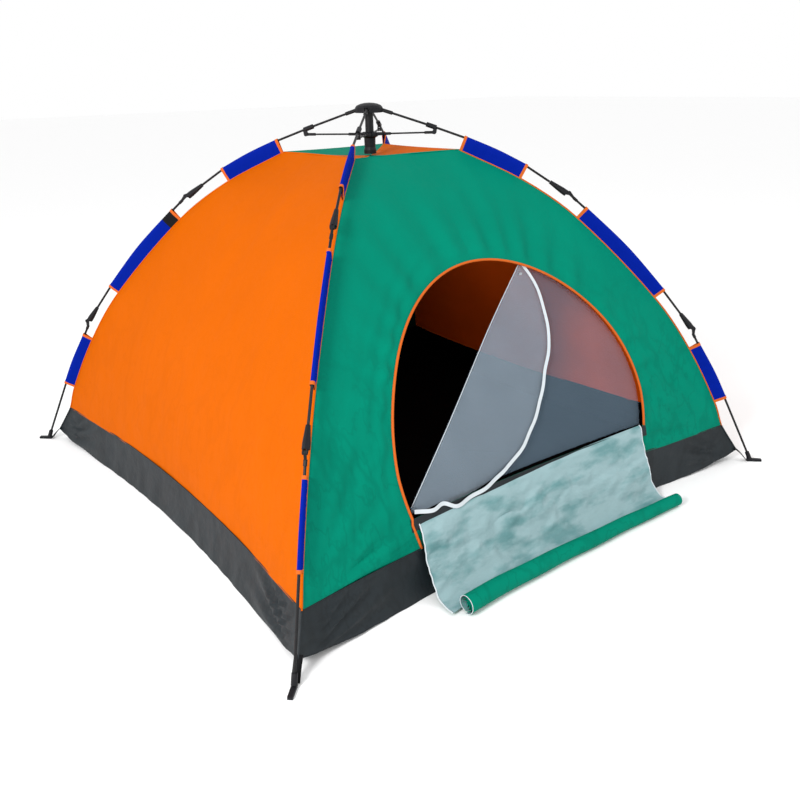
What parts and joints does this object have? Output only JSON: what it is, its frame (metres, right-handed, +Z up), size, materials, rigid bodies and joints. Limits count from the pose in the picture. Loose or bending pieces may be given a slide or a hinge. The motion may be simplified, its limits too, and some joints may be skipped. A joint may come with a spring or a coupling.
{
  "type": "dome tent",
  "caption": "Square automatic dome tent with jointed external poles on an umbrella hub, blue pole sleeves, a net inner door and its door flap lying open on the ground",
  "frame": {"origin": "on the ground under the tent's vertical axis, at the centre of the tub floor's underside", "axes": "+Z up, the door faces -Y, the orange walls face +X and -X"},
  "size_m": [2.0648, 2.0979, 1.306],
  "materials": {
    "orange_cloth": "woven",
    "green_cloth": "woven",
    "blue_cloth": "woven",
    "grey_cloth": "woven",
    "net": "woven",
    "silver_cloth": "woven",
    "webbing": "woven",
    "black_pole": "gloss",
    "black_plastic": "matte",
    "steel": "brushed"
  },
  "bodies": {
    "tent_body": {"tub": "grey_cloth", "wall_front": "green_cloth", "wall_back": "green_cloth", "wall_left": "orange_cloth", "wall_right": "orange_cloth", "roof_panel": "orange_cloth", "door_flap": "silver_cloth", "mesh_door": "net", "hub_cap": "black_plastic", "centre_tube": "black_pole"},
    "runner": {"runner": "black_plastic"},
    "mesh_zip_slider": {"mesh_zip_slider": "steel"},
    "upper_front_left": {"upper_pole_front_left": "black_pole", "upper_elbow_front_left": "black_plastic", "strut_bracket_front_left": "black_plastic", "sleeve_upper_front_left": "blue_cloth"},
    "middle_front_left": {"middle_pole_front_left": "black_pole", "lower_elbow_front_left": "black_plastic", "sleeve_middle_front_left": "blue_cloth"},
    "lower_front_left": {"lower_pole_front_left": "black_pole", "foot_front_left": "black_plastic", "sleeve_lower_front_left": "blue_cloth"},
    "strut_front_left": {"strut_front_left": "black_pole"},
    "corner_front_left": {"corner_strap_front_left": "webbing"},
    "upper_front_right": {"upper_pole_front_right": "black_pole", "upper_elbow_front_right": "black_plastic", "strut_bracket_front_right": "black_plastic", "sleeve_upper_front_right": "blue_cloth"},
    "middle_front_right": {"middle_pole_front_right": "black_pole", "lower_elbow_front_right": "black_plastic", "sleeve_middle_front_right": "blue_cloth"},
    "lower_front_right": {"lower_pole_front_right": "black_pole", "foot_front_right": "black_plastic", "sleeve_lower_front_right": "blue_cloth"},
    "strut_front_right": {"strut_front_right": "black_pole"},
    "corner_front_right": {"corner_strap_front_right": "webbing"},
    "upper_back_right": {"upper_pole_back_right": "black_pole", "upper_elbow_back_right": "black_plastic", "strut_bracket_back_right": "black_plastic", "sleeve_upper_back_right": "blue_cloth"},
    "middle_back_right": {"middle_pole_back_right": "black_pole", "lower_elbow_back_right": "black_plastic", "sleeve_middle_back_right": "blue_cloth"},
    "lower_back_right": {"lower_pole_back_right": "black_pole", "foot_back_right": "black_plastic", "sleeve_lower_back_right": "blue_cloth"},
    "strut_back_right": {"strut_back_right": "black_pole"},
    "corner_back_right": {"corner_strap_back_right": "webbing"},
    "upper_back_left": {"upper_pole_back_left": "black_pole", "upper_elbow_back_left": "black_plastic", "strut_bracket_back_left": "black_plastic", "sleeve_upper_back_left": "blue_cloth"},
    "middle_back_left": {"middle_pole_back_left": "black_pole", "lower_elbow_back_left": "black_plastic", "sleeve_middle_back_left": "blue_cloth"},
    "lower_back_left": {"lower_pole_back_left": "black_pole", "foot_back_left": "black_plastic", "sleeve_lower_back_left": "blue_cloth"},
    "strut_back_left": {"strut_back_left": "black_pole"},
    "corner_back_left": {"corner_strap_back_left": "webbing"}
  },
  "joints": [
    {"name": "frame_fold", "type": "hinge", "parent": "tent_body", "child": "upper_front_left", "pos_m": [-0.02546, -0.02546, 1.2845], "axis": [0.7071, -0.7071, 0], "range_deg": [0, 62], "deforming": ["tub", "wall_front", "wall_back", "wall_left", "wall_right", "roof_panel", "door_flap", "mesh_door", "corner_strap_front_left", "corner_strap_front_right", "corner_strap_back_right", "corner_strap_back_left"]},
    {"name": "upper_elbow_hinge_front_left", "type": "hinge", "parent": "upper_front_left", "child": "middle_front_left", "pos_m": [-0.49073, -0.49073, 0.9965], "axis": [-0.7071, 0.7071, 0], "range_deg": [0, 131.01]},
    {"name": "lower_elbow_hinge_front_left", "type": "hinge", "parent": "middle_front_left", "child": "lower_front_left", "pos_m": [-0.81777, -0.81777, 0.516], "axis": [-0.7071, 0.7071, 0], "range_deg": [0, 143.01]},
    {"name": "strut_hinge_front_left", "type": "hinge", "parent": "upper_front_left", "child": "strut_front_left", "pos_m": [-0.16016, -0.16016, 1.205], "axis": [-0.7071, 0.7071, 0], "range_deg": [0, 147.85]},
    {"name": "corner_draw_front_left", "type": "slide", "parent": "tent_body", "child": "corner_front_left", "axis": [0.7071, 0.7071, 0], "range_m": [0, 1.13005]},
    {"name": "hub_hinge_front_right", "type": "hinge", "parent": "tent_body", "child": "upper_front_right", "pos_m": [0.02546, -0.02546, 1.2845], "axis": [0.7071, 0.7071, 0], "range_deg": [0, 62.01]},
    {"name": "upper_elbow_hinge_front_right", "type": "hinge", "parent": "upper_front_right", "child": "middle_front_right", "pos_m": [0.49073, -0.49073, 0.9965], "axis": [-0.7071, -0.7071, 0], "range_deg": [0, 131.01]},
    {"name": "lower_elbow_hinge_front_right", "type": "hinge", "parent": "middle_front_right", "child": "lower_front_right", "pos_m": [0.81777, -0.81777, 0.516], "axis": [-0.7071, -0.7071, 0], "range_deg": [0, 143.01]},
    {"name": "strut_hinge_front_right", "type": "hinge", "parent": "upper_front_right", "child": "strut_front_right", "pos_m": [0.16016, -0.16016, 1.205], "axis": [-0.7071, -0.7071, 0], "range_deg": [0, 147.85]},
    {"name": "corner_draw_front_right", "type": "slide", "parent": "tent_body", "child": "corner_front_right", "axis": [-0.7071, 0.7071, 0], "range_m": [0, 1.13005]},
    {"name": "hub_hinge_back_right", "type": "hinge", "parent": "tent_body", "child": "upper_back_right", "pos_m": [0.02546, 0.02546, 1.2845], "axis": [-0.7071, 0.7071, 0], "range_deg": [0, 62.01]},
    {"name": "upper_elbow_hinge_back_right", "type": "hinge", "parent": "upper_back_right", "child": "middle_back_right", "pos_m": [0.49073, 0.49073, 0.9965], "axis": [0.7071, -0.7071, 0], "range_deg": [0, 131.01]},
    {"name": "lower_elbow_hinge_back_right", "type": "hinge", "parent": "middle_back_right", "child": "lower_back_right", "pos_m": [0.81777, 0.81777, 0.516], "axis": [0.7071, -0.7071, 0], "range_deg": [0, 143.01]},
    {"name": "strut_hinge_back_right", "type": "hinge", "parent": "upper_back_right", "child": "strut_back_right", "pos_m": [0.16016, 0.16016, 1.205], "axis": [0.7071, -0.7071, 0], "range_deg": [0, 147.85]},
    {"name": "corner_draw_back_right", "type": "slide", "parent": "tent_body", "child": "corner_back_right", "axis": [-0.7071, -0.7071, 0], "range_m": [0, 1.13005]},
    {"name": "hub_hinge_back_left", "type": "hinge", "parent": "tent_body", "child": "upper_back_left", "pos_m": [-0.02546, 0.02546, 1.2845], "axis": [-0.7071, -0.7071, 0], "range_deg": [0, 62.01]},
    {"name": "upper_elbow_hinge_back_left", "type": "hinge", "parent": "upper_back_left", "child": "middle_back_left", "pos_m": [-0.49073, 0.49073, 0.9965], "axis": [0.7071, 0.7071, 0], "range_deg": [0, 131.01]},
    {"name": "lower_elbow_hinge_back_left", "type": "hinge", "parent": "middle_back_left", "child": "lower_back_left", "pos_m": [-0.81777, 0.81777, 0.516], "axis": [0.7071, 0.7071, 0], "range_deg": [0, 143.01]},
    {"name": "strut_hinge_back_left", "type": "hinge", "parent": "upper_back_left", "child": "strut_back_left", "pos_m": [-0.16016, 0.16016, 1.205], "axis": [0.7071, 0.7071, 0], "range_deg": [0, 147.85]},
    {"name": "corner_draw_back_left", "type": "slide", "parent": "tent_body", "child": "corner_back_left", "axis": [0.7071, -0.7071, 0], "range_m": [0, 1.13005]},
    {"name": "runner_slide", "type": "slide", "parent": "tent_body", "child": "runner", "axis": [0, 0, -1], "range_m": [0, 0.30615]},
    {"name": "mesh_zip", "type": "hinge", "parent": "tent_body", "child": "mesh_zip_slider", "pos_m": [0, -0.7655, 0.45], "axis": [0, -0.8202, 0.5721], "range_deg": [-18, 28]}
  ],
  "couplings": [
    {"joint": "upper_elbow_hinge_front_left", "follows": "frame_fold", "ratio": 2.1129},
    {"joint": "lower_elbow_hinge_front_left", "follows": "frame_fold", "ratio": 2.3065},
    {"joint": "strut_hinge_front_left", "follows": "frame_fold", "ratio": 2.3845},
    {"joint": "corner_draw_front_left", "follows": "frame_fold", "m_per_rad": 1.0443},
    {"joint": "hub_hinge_front_right", "follows": "frame_fold", "ratio": 1},
    {"joint": "upper_elbow_hinge_front_right", "follows": "frame_fold", "ratio": 2.1129},
    {"joint": "lower_elbow_hinge_front_right", "follows": "frame_fold", "ratio": 2.3065},
    {"joint": "strut_hinge_front_right", "follows": "frame_fold", "ratio": 2.3845},
    {"joint": "corner_draw_front_right", "follows": "frame_fold", "m_per_rad": 1.0443},
    {"joint": "hub_hinge_back_right", "follows": "frame_fold", "ratio": 1},
    {"joint": "upper_elbow_hinge_back_right", "follows": "frame_fold", "ratio": 2.1129},
    {"joint": "lower_elbow_hinge_back_right", "follows": "frame_fold", "ratio": 2.3065},
    {"joint": "strut_hinge_back_right", "follows": "frame_fold", "ratio": 2.3845},
    {"joint": "corner_draw_back_right", "follows": "frame_fold", "m_per_rad": 1.0443},
    {"joint": "hub_hinge_back_left", "follows": "frame_fold", "ratio": 1},
    {"joint": "upper_elbow_hinge_back_left", "follows": "frame_fold", "ratio": 2.1129},
    {"joint": "lower_elbow_hinge_back_left", "follows": "frame_fold", "ratio": 2.3065},
    {"joint": "strut_hinge_back_left", "follows": "frame_fold", "ratio": 2.3845},
    {"joint": "corner_draw_back_left", "follows": "frame_fold", "m_per_rad": 1.0443},
    {"joint": "runner_slide", "follows": "frame_fold", "m_per_rad": 0.28287}
  ]
}
